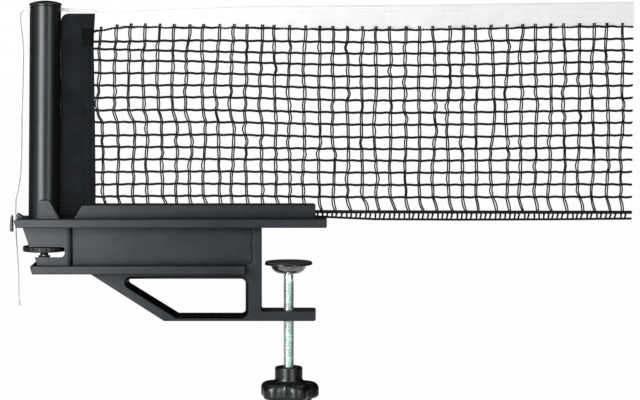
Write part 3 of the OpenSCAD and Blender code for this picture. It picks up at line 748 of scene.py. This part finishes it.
# ---- sleeve
SLEEVE_LOW, SLEEVE_TOP, SLEEVE_CORNER = 6.5, 145.7, 5.0
CLOTH = 0.62  # half of the doubled cloth
HEM_LIFT = 0.14  # how far the hem on the right stands proud
PATCH_LEFT, PATCH_LOW, PATCH_TOP = -141.7, 123.6, 136.0


def sleeve_right(z):
    return np.interp(z, [6, 28, 86, 124, 136, 145.7], [-132.8, -132.6, -132.9, -133.3, -132.8, -132.2])


def sleeve_left(z):
    start, r = -157.6, SLEEVE_CORNER
    rise = np.clip(z - (SLEEVE_TOP - r), 0, r)
    return start + LEAN * z + r - np.sqrt(np.maximum(r * r - rise * rise, 0))


def wrinkle(x, z):
    """How far the cloth stands out of its plane: slack folds and two creases."""
    y = 0.16 * np.sin(z / 17 + x / 9) + 0.12 * np.sin(z / 6.1 - x / 5 + 1.3)
    y += 0.1 * np.sin(x / 2.3 + z / 29)
    across = (z - 17) - (x + 156.1) * 0.83
    fade = np.clip((-140 - x) / 8, 0, 1)
    y += 0.75 * np.exp(-(across / 1.6) ** 2) * fade
    y -= 0.5 * np.exp(-((across + 3.2) / 1.8) ** 2) * fade
    across = (z - 96) + (x + 150) * 1.4
    y += 0.4 * np.exp(-(across / 2.6) ** 2)
    return y * 0.8


def stitches(points, length, radius, face):
    """Short raised threads along a line of (x, z) points; face(x, z, lift) is the lifted point's y."""
    line = curve(points, 0.4)
    run = np.concatenate(([0], np.cumsum(np.linalg.norm(np.diff(line, axis=0), axis=1))))
    parts, at = [], 0.4
    while at + length < run[-1]:
        s = np.linspace(at, at + length * 0.78, 5)
        x, z = np.interp(s, run, line[:, 0]), np.interp(s, run, line[:, 1])
        y = face(x, z, np.array([-0.1, 0.06, 0.1, 0.06, -0.1]) + radius * 0.4)
        thick = [radius * 0.6, radius, radius, radius, radius * 0.6]
        parts.append(tube(np.stack((x, y, z), 1), thick, 5, across=(0.001, 1, 0.001)))
        at += length
    return parts


def net_sleeve():
    """The doubled cloth with its loop in the tube, its seams, and the dark patch near its top."""
    low, top = SLEEVE_LOW, SLEEVE_TOP
    z = np.concatenate((np.linspace(low, top - 5.2, 110), np.linspace(top - SLEEVE_CORNER, top, 12)))
    u = np.concatenate(([0, 0.006, 0.02], np.linspace(0.05, 0.95, 34), [0.98, 0.994, 1]))
    zz, uu = np.meshgrid(z, u, indexing="ij")
    xx = sleeve_left(zz) + (sleeve_right(zz) - sleeve_left(zz)) * uu
    edge = np.minimum(np.minimum(uu, 1 - uu) * 24, np.minimum(zz - low, top - zz))
    body = CLOTH * np.sqrt(np.clip(edge / 0.6, 0, 1)) + 0.02
    hem = HEM_LIFT * (xx > -141.6)
    bend = wrinkle(xx, zz)
    front = np.stack((xx, -body - hem + bend, zz), -1)
    back = np.stack((xx, body + hem + bend, zz), -1)
    ring = np.concatenate((front, back[:, ::-1]), axis=1)
    cloth = surface(ring, close_v=True, caps=True)
    loop_low, loop_top = 14.6, 139.6
    inner = slab([(-160.6, loop_low, 0), (-156.6, loop_low, 0), (-156.6, loop_top, 0), (-160.6, loop_top, 0)],
                 -0.75, 0.75, 0.2)
    loop = lathe([(2.45, loop_low), (3.5, loop_low), (3.5, loop_top), (2.45, loop_top), (2.45, loop_low)],
                 -163.15, 40)
    sleeve = piece("net_sleeve_cloth", [cloth, inner, loop], "sleeve", "post", replaces=["net_sleeve"],
                   weighted=False, sharp=60)

    def face(sign):
        return lambda x, z, lift: sign * (CLOTH + HEM_LIFT + lift) + wrinkle(x, z)

    rows = []
    for sign in (-1, 1):
        for x in (-141.4, -136.4):
            rows += stitches([(x + 0.1, 9), (x - 0.2, 60), (x + 0.15, 110), (x, 143.5)], 2.9, 0.4, face(sign))
        rows += stitches([(-155.6, 8), (-155.4, 70), (-155.6, 138)], 2.9, 0.14, face(sign))
        for z0 in (134.8, 131.9, 129.2, 126.3):
            rows += stitches([(-141.0, z0), (-137.5, z0 + 0.3), (-134.3, z0 - 0.1)], 1.7, 0.2,
                             face(sign * 1.18))
    # The stitches' dark thread is partly painted shade of the dents they pull in the cloth.
    seams = piece("net_sleeve_stitches", rows, "thread", "post", slot="sleeve", weighted=False)
    patch = []
    pz, pu = np.meshgrid(np.linspace(PATCH_LOW, PATCH_TOP, 16), np.linspace(0, 1, 10), indexing="ij")
    px = PATCH_LEFT + (sleeve_right(pz) - 0.25 - PATCH_LEFT) * pu
    edge = np.minimum(np.minimum(pu, 1 - pu) * 8, np.minimum(pz - PATCH_LOW, PATCH_TOP - pz))
    lift = 0.34 * np.sqrt(np.clip(edge / 0.5, 0, 1))
    for sign in (-1, 1):
        outer = np.stack((px, face(sign)(px, pz, lift), pz), -1)
        under = np.stack((px, sign * 0.3 + wrinkle(px, pz), pz), -1)
        patch.append(surface(np.concatenate((outer, under[:, ::-1]), axis=1), close_v=True, caps=True))
    patches = piece("net_sleeve_patch", patch, "patch", "post", slot="sleeve", weighted=False)


# ---- net
# The heights of the net's 16 rows, the hem's upper cord last, at the places ROW_X along it.
ROW_X = [-134, -127, -66, 60, 215, 237]
ROWS = [(133.2, 134.6, 136.1, 134.6, 136.9, 137.0), (126.7, 126.6, 127.3, 126.1, 128.3, 128.5),
        (121.6, 121.4, 120.0, 118.3, 120.5, 120.7), (113.9, 113.7, 113.1, 110.3, 112.6, 112.8),
        (105.1, 105.0, 104.9, 102.5, 104.6, 104.7), (96.7, 96.6, 96.7, 94.6, 96.3, 96.4),
        (88.0, 88.1, 88.5, 86.2, 87.8, 87.9), (79.4, 79.5, 79.7, 77.8, 79.2, 79.3),
        (71.2, 71.3, 71.5, 69.6, 70.9, 71.0), (62.0, 62.1, 62.8, 60.9, 62.3, 62.4),
        (54.8, 54.6, 54.2, 52.9, 53.8, 53.9), (45.7, 45.7, 46.0, 44.9, 45.5, 45.5),
        (36.9, 37.0, 37.5, 36.6, 37.1, 37.1), (28.4, 28.5, 29.0, 28.2, 28.6, 28.5),
        (20.1, 20.2, 20.7, 19.7, 19.9, 19.8), (10.4, 10.4, 10.4, 9.9, 9.6, 9.6)]
LAST = len(ROWS) - 1
COLUMNS, FIRST_COLUMN, COLUMN_PITCH = 37, -127.95, 9.905
# How far the leftmost columns are pushed sideways at each row.
SLIP = np.array([0.8, 0, -1, -0.8, -1.2, -1.8, -2.1, -2.1, 1.1, 1.1, 0.9, 0.6, 0.6, 0.8, 0.8, 0.8])
HEM_PITCH = 3.31
ALONG = np.arange(NET_LEFT - 1.2, NET_RIGHT - 0.2, 0.32)


def row_height(k, x):
    """Height of the net's row k, as a smooth curve along X."""
    nodes = np.array(ROW_X, float)
    z = np.array(ROWS[k], float)
    slope = np.gradient(z, nodes)
    i = np.clip(np.searchsorted(nodes, x) - 1, 0, len(nodes) - 2)
    h = nodes[i + 1] - nodes[i]
    t = np.clip((x - nodes[i]) / h, 0, 1)
    return ((2 * t ** 3 - 3 * t ** 2 + 1) * z[i] + (t ** 3 - 2 * t ** 2 + t) * h * slope[i]
            + (3 * t ** 2 - 2 * t ** 3) * z[i + 1] + (t ** 3 - t ** 2) * h * slope[i + 1])


def drift(count, amount):
    """Slowly wandering offsets."""
    out = np.convolve(RNG.normal(0, 1, count + 4), [0.2, 0.6, 1.0, 0.6, 0.2], "valid")
    return amount * out[:count]


def along_net(y, z, thick):
    """A cord that runs the net's whole length."""
    return tube(np.stack((ALONG, y, z), 1), thick, 6, across=(0.0001, 1, 0))


def net():
    """Twisted rows, and columns of two cords that part between the rows."""
    rows, x = [], ALONG
    for k in range(LAST):
        phase, lay = RNG.uniform(0, TAU), RNG.uniform(1.7, 2.1)
        thick = 0.86 if k == 0 else 0.77
        run = TAU * x / lay + phase + np.interp(x, x[::40], RNG.uniform(-2, 2, len(x[::40])))
        z = row_height(k, x) + 0.2 * np.sin(run) + 0.18 * np.sin(x / 1.7 + phase + np.sin(x / 9))
        rows.append(along_net(0.14 * np.cos(run), z, thick * (1 + 0.22 * np.sin(run * 2 + 1))))
    columns = []
    knots = np.arange(len(ROWS))
    t = np.linspace(0, LAST, LAST * 7 + 1)
    cell = np.minimum(t.astype(int), LAST - 1)
    arch = np.sin(math.pi * (t - cell)) ** 1.3
    for i in range(COLUMNS):
        x0 = FIRST_COLUMN + i * COLUMN_PITCH
        lean = drift(len(ROWS), 0.46) + SLIP * np.interp(x0, [-128, -60, 20], [1.0, 0.7, 0.0])
        lean[-1] = lean[-2] + 2.6 + RNG.normal(0, 0.5)
        heights = np.array([row_height(k, np.array([x0]))[0] for k in knots])
        heights[0] += 2.4
        z = np.interp(t, knots, heights)
        bow = RNG.normal(0, 0.5, LAST)
        middle = x0 + np.interp(t, knots, lean) + bow[cell] * arch
        for side in (-1, 1):
            pinch = RNG.uniform(0.45, 0.65, len(ROWS))
            swell = RNG.uniform(-0.15, 0.4, LAST)
            w = np.interp(t, knots, pinch) + swell[cell] * arch
            y = 0.34 * np.cos(math.pi * t) * side - 0.95 * np.clip(1 - t * 1.6, 0, 1)
            columns.append(tube(np.stack((middle + side * w, y, z), 1), 0.49))
    cord_piece("net_rows", rows, "mesh", replaces=["net_mesh"])
    cord_piece("net_strands", columns, "strand", slot="mesh")


def hem_low(x):
    return np.interp(x, [-134, 26, 60, 120, 180, 237], [6.9, 6.6, 5.1, 4.75, 5.0, 5.5])


def net_hem():
    """Two twisted cords above, one below, and slanting cords between them."""
    parts, x = [], ALONG
    for lift, thick, shift in ((0.0, 0.85, 0.0), (-0.7, 0.7, 1.7)):
        run = TAU * (x + shift) / 1.9
        z = row_height(LAST, x) + lift + 0.16 * np.sin(run)
        parts.append(along_net(0.2 * np.cos(run), z, thick * (1 + 0.14 * np.sin(2 * run))))
    run = TAU * x / 1.4
    z = hem_low(x) - 0.5 + 0.07 * np.sin(run)
    parts.append(along_net(0.1 * np.cos(run), z, 0.78 * (1 + 0.15 * np.sin(2 * run))))
    at = NET_LEFT + 0.6
    while at < NET_RIGHT - 1.5:
        slant = RNG.uniform(-0.3, 1.1)
        top, low = row_height(LAST, np.array([at]))[0], hem_low(at)
        s = np.linspace(0, 1, 6)
        path = np.stack((at - slant * (1 - s) + 0.25 * np.sin(math.pi * s), 0.25 * np.cos(math.pi * s),
                         low + (top - low) * s), 1)
        parts.append(tube(path, 0.58 * (1 + 0.2 * np.sin(math.pi * s))))
        at += HEM_PITCH
    cord_piece("net_hem_cords", parts, "mesh", replaces=["net_hem"])


# The height of the tape's fold at the places TAPE_X along it.
TAPE_X = [-131.0, -118, -84, -19.5, 60, 100, 235.6]
TAPE_TOP = [146.6, 146.9, 148.4, 150.9, 151.3, 151.8, 153.7]


def net_tape():
    """A strip folded over the net's top, with two rows of stitches on each side."""
    fold_r = 1.3
    x = np.linspace(TAPE_X[0], NET_RIGHT - 0.3, 260)
    top = np.interp(x, TAPE_X, TAPE_TOP)
    top = np.convolve(np.pad(top, 10, "edge"), np.ones(21) / 21, "valid")
    low = row_height(0, x) + 0.15
    w = np.radians(np.linspace(-35, 215, 15))
    down = np.linspace(0.0, 1.0, 9)[1:]
    wave = [RNG.uniform(0, TAU) for _ in range(3)]
    rings = []
    for xi, fold, edge in zip(x, top, low):
        cap = [(fold_r * math.cos(a), fold - fold_r + fold_r * math.sin(a)) for a in w]
        start = cap[0][1]
        side = [(0.5 + 0.5 * (1 - q) ** 4, start + (edge - start) * q) for q in down]
        ring = []
        for y, z in cap + [(-y, z) for y, z in side] + side[::-1]:
            hang = max(0.0, min(1.0, (fold - z - 1.5) / 4))
            sway = hang * (0.16 * math.sin(xi / 7.3 + wave[0] + z / 9)
                           + 0.12 * math.sin(xi / 3.1 + wave[1] - z / 4)
                           + 0.05 * math.sin(xi / 1.3 + wave[2]))
            ring.append((xi, y + sway, z))
        rings.append(ring)
    tape = piece("net_tape_cloth", [surface(rings, close_v=True, caps=True)], "tape", "post",
                 replaces=["net_tape"], weighted=False, sharp=70)
    upper = [(-130, 137.6), (-118, 139.3), (-98, 141.1), (-78, 142.6), (-40, 145.6), (60, 147.0),
             (150, 148.3), (235, 149.4)]
    lower = [(-130, 135.6), (-66, 137.4), (60, 136.0), (235, 138.3)]
    rows = []
    for sign in (-1, 1):
        rows += stitches(upper, 2.6, 0.13, lambda x, z, lift: sign * (0.56 + lift))
        rows += stitches(lower, 2.2, 0.12, lambda x, z, lift: sign * (0.52 + lift))
    seam = piece("net_tape_stitches", rows, "seam", "post", slot="tape", weighted=False)


# ---- cord
# From the cap's left side to the knot, and from the tape's corner to the cap's left side.
TAIL_ROUTE = [(-179, 148.5), (-181, 148.5), (-183.2, 146.8), (-184, 143.6), (-183.6, 138), (-182.8, 130),
              (-182.2, 120), (-182.6, 100), (-183.4, 80), (-183.9, 56), (-184.6, 38), (-186.2, 27),
              (-187.8, 20), (-188.3, 14), (-188.3, 6), (-188.3, -4), (-187.8, -14), (-187.1, -26),
              (-186.7, -40), (-186.6, -52)]
BRIDGE_ROUTE = [(-131.05, 146.3), (-132.45, 147.0), (-134.55, 147.4), (-140.05, 147.6), (-147.3, 147.9),
                (-152.3, 148.3), (-156.3, 148.5), (-162.3, 148.5), (-169.3, 148.5), (-179, 148.5)]


def laid_cord(route):
    """The path of a route of (x, z) points, and a cord of three strands along it."""
    path = curve(route, 0.35)
    path = np.stack((path[:, 0], np.zeros(len(path)), path[:, 1]), 1)
    return path, tube(path, CORD_D / 2, 18, lobes=3, lay=5.2, depth=0.24)


def cords():
    """The tension cord down to the cleat, its frayed knot, and its part in the cap."""
    path, tail = laid_cord(TAIL_ROUTE)
    cord = cord_piece("tension_cord_lay", [tail], "cord", replaces=["tension_cord"])
    x, z = TAIL_ROUTE[-1]
    w = np.linspace(0, 2 * TAU, 90)
    drop = z - 0.75 - 1.3 * w / w[-1] + 0.35 * np.sin(2 * w)
    wrap = np.stack((x + 1.15 * np.cos(w), 1.05 * np.sin(w), drop), 1)
    tuft = [tube([(x + dx * 0.3, dy * 0.3, z - 1.6), (x + dx, dy, z - 3.4)], [0.32, 0.2], 6,
                 across=(0, 1, 0.01))
            for dx, dy in ((0.5, 0), (-0.5, 0.2), (0, 0.6), (0.1, -0.6), (-0.2, -0.1))]
    knot = cord_piece("cord_knot_wrap", [tube(wrap, 0.85, 12, across=(0, 0, 1)), *tuft], "cord",
                      replaces=["cord_knot"])
    _, bridge = laid_cord(BRIDGE_ROUTE)
    cord_piece("cord_bridge_lay", [bridge], "cord", replaces=["cord_bridge"])


# ---- screws, pad and knob
def off_nearest(w, count, start=0.0):
    """The angle from w to the nearest of count places evenly round from start."""
    return (w - start + math.pi / count) % (TAU / count) - math.pi / count


def thumbwheel():
    """A wheel with sunk faces, a notched rim and a hub below."""
    outer, top, low, hub_low = 14.6, -13.9, -17.4, -20.3
    count, notch_at, notch_r = 24, 15.1, 0.8

    def notched(r, w):
        off = off_nearest(w, count)
        s = notch_at * np.sin(off)
        cut = notch_at * np.cos(off) - np.sqrt(np.maximum(notch_r ** 2 - s ** 2, 0))
        edge = np.where(np.abs(s) < notch_r, np.minimum(outer, cut), outer)
        return r - (outer - edge) * (r > 12.5)

    profile = [(2.45, hub_low), (2.6, hub_low), (2.8, -20.1), (2.8, low), (9.0, low), (9.4, low + 0.35),
               (11.6, low + 0.35), (12.0, low), (14.0, low), (14.43, low + 0.17), (outer, low + 0.6),
               (outer, top - 0.6), (14.43, top - 0.17), (14.0, top), (12.0, top), (11.6, top - 0.35),
               (6, top - 0.35), (5.6, top), (2.45, top), (2.45, hub_low)]
    piece("thumbwheel_shell", [lathe(profile, POST_X, count * 14, notched)], "wheel", "adjuster",
          replaces=["thumbwheel"])


def clamp_screw():
    """The threaded rod and its plain tip, which stops in the pad."""
    outer, depth, pitch, sides = 3.68, 0.62, 1.0, 32
    low, high = -121.0, -37.9
    zz, ww = np.meshgrid(np.arange(low, high, pitch / 8), np.arange(sides) * TAU / sides, indexing="ij")
    phase = (zz / pitch - ww / TAU) % 1
    groove = np.clip(np.abs(phase - 0.5) * 2 * 1.3 - 0.15, 0, 1)
    fade = np.clip((high - zz) / 1.5, 0, 1) * np.clip((zz - low) / 1.0, 0, 1)
    r = outer - depth * groove * fade - 0.25 * (1 - fade)
    thread = surface(np.stack((r * np.cos(ww), r * np.sin(ww), zz), -1), close_v=True, caps=True)
    tip = lathe([(0, -38.4), (3.05, -38.4), (3.2, -38.1), (3.2, -33.9), (3.0, -33.5), (1.9, -33.4),
                 (1.9, -27.7), (1.6, -27.6), (0, -27.6)], 0, 64)
    screw = piece("clamp_screw_thread", [thread, tip], "steel", "screw", replaces=["clamp_screw"],
                  weighted=False, sharp=50)
    # The faces deep in the thread take the darker groove steel: painted shade in the thread's hollows.
    refinish(screw, "groove", lambda c, n: c.z < high and math.hypot(c.x, c.y) < outer - 0.8 * depth)


def pad():
    """The cup with its plated bowl, and the rubber disc on it."""
    w = np.linspace(0, math.pi / 2, 12)
    bowl = [(5.3 + 6.8 * math.sin(a), -26.9 - 6.0 * math.cos(a)) for a in w[1:-1]]
    profile = [(0, -28.0), (3.2, -29.0), (3.2, -32.3), (4.4, -32.3), (4.4, -32.75), (4.6, -32.9),
               (5.3, -32.9), *bowl, (12.15, -27.4), (12.5, -27.0), (13.2, -26.85), (15.6, -26.85),
               (16.2, -26.75), (16.48, -26.4), (16.42, -25.95), (16.1, -25.62), (0, -25.62)]
    cup = piece("pad_cup_shell", [lathe(profile, 0, 128)], "pad", "pad", replaces=["pad_cup"], sharp=50)
    refinish(cup, "bowl", lambda c, n: c.z < -26.95 and math.hypot(c.x, c.y) > 5)
    face = [(0, -25.6), (15.8, -25.6), (16.1, -25.4), (16.1, -24.85), (15.8, -24.62), (14.6, -24.6),
            (14.3, -24.75), (13.9, -24.75), (13.6, -24.6), (0, -24.6)]
    piece("pad_facing_disc", [lathe(face, 0, 128)], "facing", "pad", replaces=["pad_facing"], sharp=50)


def star_knob():
    """A hub on a disc of five lobes, with a foot below."""
    reach, lobe, count, turn = 13.25, 7.6, 5, math.radians(-65)
    outer, waist, core = 20.85, 15.6, 10.2
    bore, hub, foot, shoulder, lower = 3.7, 9.55, 16.0, 4.8, 2.6
    top, high, low, base = -97.5, -107.5, -119.2, -122.4

    def star(r, w):
        off = off_nearest(w, count, turn)
        s = reach * np.sin(off)
        tip = reach * np.cos(off) + np.sqrt(np.maximum(lobe ** 2 - s ** 2, 0))
        edge = np.where(np.abs(s) < lobe, tip, reach)
        edge = (edge ** 10 + waist ** 10) ** (1 / 10)
        edge = np.minimum(edge, outer)
        share = np.clip((r - core) / (outer - core), 0, 1)
        return r * (1 - share) + share * (edge - (outer - r))

    profile = [(bore, top - 2), (bore, top - 0.3), (4.0, top), (hub - 1.2, top), (hub - 0.5, top - 0.22),
               (hub - 0.12, top - 0.7), (hub, top - 1.4), (hub, high + 2.0), (hub + 0.15, high + 1.0),
               (hub + 0.6, high + 0.3), (hub + 1.6, high - 0.05), (13.5, high - 0.45)]
    profile += [(outer - shoulder + shoulder * math.sin(a), high - 5.6 + shoulder * math.cos(a))
                for a in np.radians(np.linspace(4, 90, 8))]
    profile += [(outer - lower + lower * math.cos(a), low + lower - lower * math.sin(a))
                for a in np.radians(np.linspace(0, 84, 6))]
    profile += [(17, low + 0.02), (16.1, low), (foot, low - 0.3), (foot, base + 0.6), (15.8, base + 0.15),
                (15.4, base), (6.8, base), (6.5, base + 0.3), (6.5, base + 1.0), (bore, base + 1.0)]
    piece("star_knob_shell", [lathe(profile, 0, 240, star)], "knob", "screw", replaces=["star_knob"],
          sharp=50)


# ---- assembly
camera()
MATERIALS = make_materials()
cords()
studio()
clamp_body()
cord_cleat()
post_tube()
post_cap()
net_sleeve()
net()
net_hem()
net_tape()
thumbwheel()
clamp_screw()
pad()
star_knob()

# The hidden pieces are the CAD's own, each with its finish.
KEPT = {"arm_bush": "bush", "post_foot": "foot", "sleeve_rod": "rod", "height_screw": "steel",
        "swivel_seat": "seat", "knob_nut": "steel", "pad_retainer": "steel"}
for node, finish in KEPT.items():
    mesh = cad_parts[node].data
    mesh.materials.clear()
    mesh.materials.append(MATERIALS[finish])
